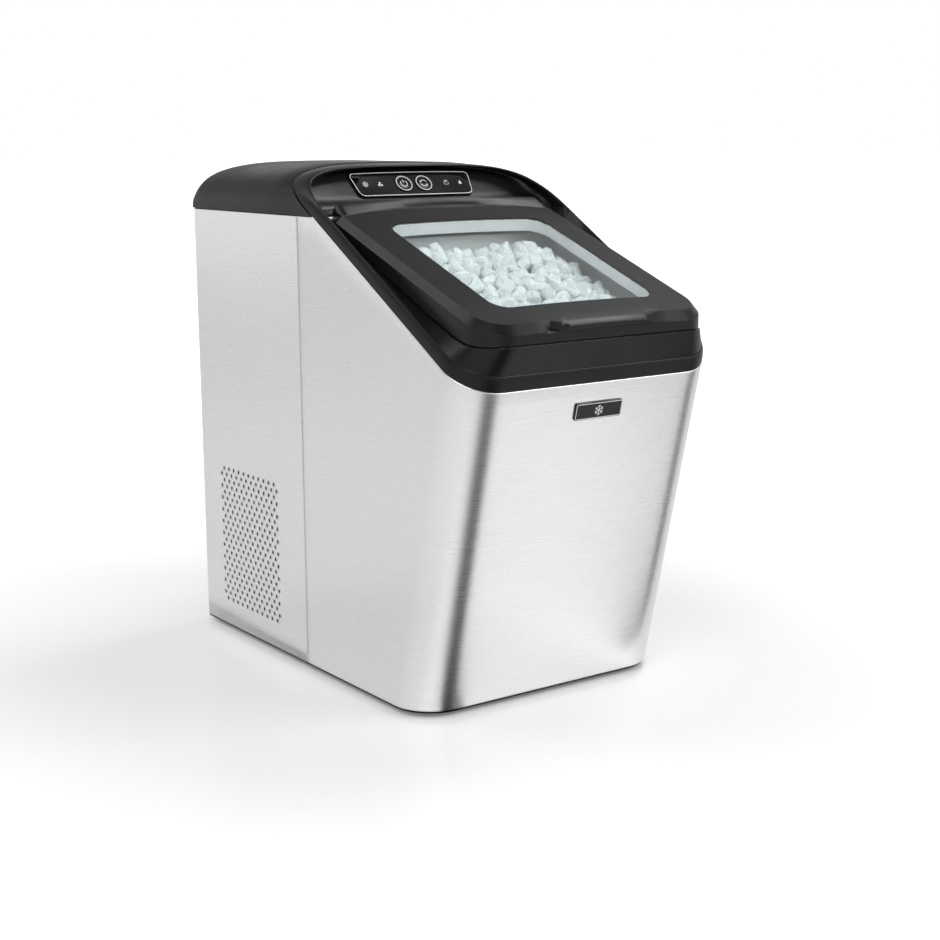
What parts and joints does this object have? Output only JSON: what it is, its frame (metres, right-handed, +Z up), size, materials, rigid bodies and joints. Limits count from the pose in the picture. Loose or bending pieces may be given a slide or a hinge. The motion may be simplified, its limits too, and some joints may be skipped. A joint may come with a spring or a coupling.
{
  "type": "ice maker",
  "caption": "Countertop nugget ice maker: steel casing with a forward-leaning front, black top, tilted windowed lid, push-button panel, and the freezing column, pump, fan and compressor inside.",
  "frame": {"origin": "on the surface it stands on, under the middle of the whole machine", "axes": "+Z up, -Y towards the front, X across; left and right are as seen from the front"},
  "size_m": [0.2296, 0.402, 0.3882],
  "materials": {
    "steel": "brushed stainless sheet, fine level grain",
    "casing_plastic": "black satin moulded plastic",
    "panel_gloss": "gloss black with silver outlines",
    "window_clear": "clear acrylic pane",
    "liner_white": "white food-safe plastic",
    "foam": "rigid insulating foam",
    "bright_metal": "plain bright metal",
    "fin_aluminium": "aluminium",
    "copper": "copper tube",
    "enamel": "black enamel",
    "black_nylon": "black glass-filled nylon",
    "white_nylon": "natural nylon and silicone",
    "board": "green circuit board",
    "rubber": "black rubber"
  },
  "bodies": {
    "casing": {"front_shell": "steel", "rear_shell": "steel", "top_cover": "casing_plastic", "front_bezel": "casing_plastic", "control_fascia": "casing_plastic", "base_pan": "casing_plastic", "drain_spout": "casing_plastic", "power_inlet": "casing_plastic", "control_overlay": "panel_gloss", "name_plate": "panel_gloss", "ice_bin": "liner_white", "ice_chute": "liner_white", "bin_insulation": "foam", "barrel_insulation": "foam", "rear_screw_1": "bright_metal", "rear_screw_2": "bright_metal", "rear_screw_3": "bright_metal", "rear_screw_4": "bright_metal", "hinge_pin_left": "bright_metal", "hinge_pin_right": "bright_metal", "gearbox_stand": "bright_metal", "freezer_barrel": "bright_metal", "condenser": "fin_aluminium", "fan_motor": "fin_aluminium", "filter_drier": "copper", "discharge_line": "copper", "liquid_line": "copper", "capillary_tube": "copper", "suction_line": "copper", "compressor": "enamel", "auger_motor": "enamel", "gear_housing": "black_nylon", "gear_cover": "black_nylon", "fan_shroud": "black_nylon", "water_pump": "black_nylon", "ice_level_sensor": "black_nylon", "light_guide": "white_nylon", "extruder_head": "white_nylon", "supply_hose": "white_nylon", "feed_hose": "white_nylon", "drain_hose": "white_nylon", "control_board": "board", "foot_front_left": "rubber", "foot_front_right": "rubber", "foot_rear_left": "rubber", "foot_rear_right": "rubber", "compressor_grommet_1": "rubber", "compressor_grommet_2": "rubber", "compressor_grommet_3": "rubber", "compressor_grommet_4": "rubber"},
    "lid": {"lid_frame": "casing_plastic", "lid_window": "window_clear"},
    "power_button": {"power_button": "panel_gloss"},
    "clean_button": {"clean_button": "panel_gloss"},
    "fan": {"fan_blade": "black_nylon"},
    "auger": {"auger": "bright_metal", "auger_gear": "white_nylon"},
    "pinion": {"drive_pinion": "bright_metal"},
    "drain_cap": {"drain_cap": "rubber"},
    "basket": {"ice_basket": "liner_white"}
  },
  "joints": [
    {"name": "lid_hinge", "type": "hinge", "parent": "casing", "child": "lid", "pos_m": [0, -0.0015, 0.3485], "axis": [-1, 0, 0], "range_deg": [0, 80]},
    {"name": "power_press", "type": "slide", "parent": "casing", "child": "power_button", "axis": [0, 0.7638, -0.6455], "range_m": [0, 0.0007], "stiffness_N_per_m": 400, "springref_m": -0.001},
    {"name": "clean_press", "type": "slide", "parent": "casing", "child": "clean_button", "axis": [0, 0.7638, -0.6455], "range_m": [0, 0.0007], "stiffness_N_per_m": 400, "springref_m": -0.001},
    {"name": "fan_spin", "type": "hinge", "parent": "casing", "child": "fan", "pos_m": [-0.068, 0.1125, 0.085], "axis": [1, 0, 0], "continuous": true},
    {"name": "auger_spin", "type": "hinge", "parent": "casing", "child": "auger", "pos_m": [-0.04, 0.0255, 0.185], "axis": [0, 0, 1], "continuous": true},
    {"name": "pinion_spin", "type": "hinge", "parent": "casing", "child": "pinion", "pos_m": [-0.00365, 0.0255, 0.075], "axis": [0, 0, 1], "continuous": true},
    {"name": "drain_cap_pull", "type": "slide", "parent": "casing", "child": "drain_cap", "axis": [0, 1, 0], "range_m": [0, 0.012]},
    {"name": "basket_lift", "type": "slide", "parent": "casing", "child": "basket", "axis": [0, 0, 1], "range_m": [0, 0.006]}
  ],
  "couplings": [
    {"joint": "pinion_spin", "follows": "auger_spin", "ratio": -3}
  ]
}
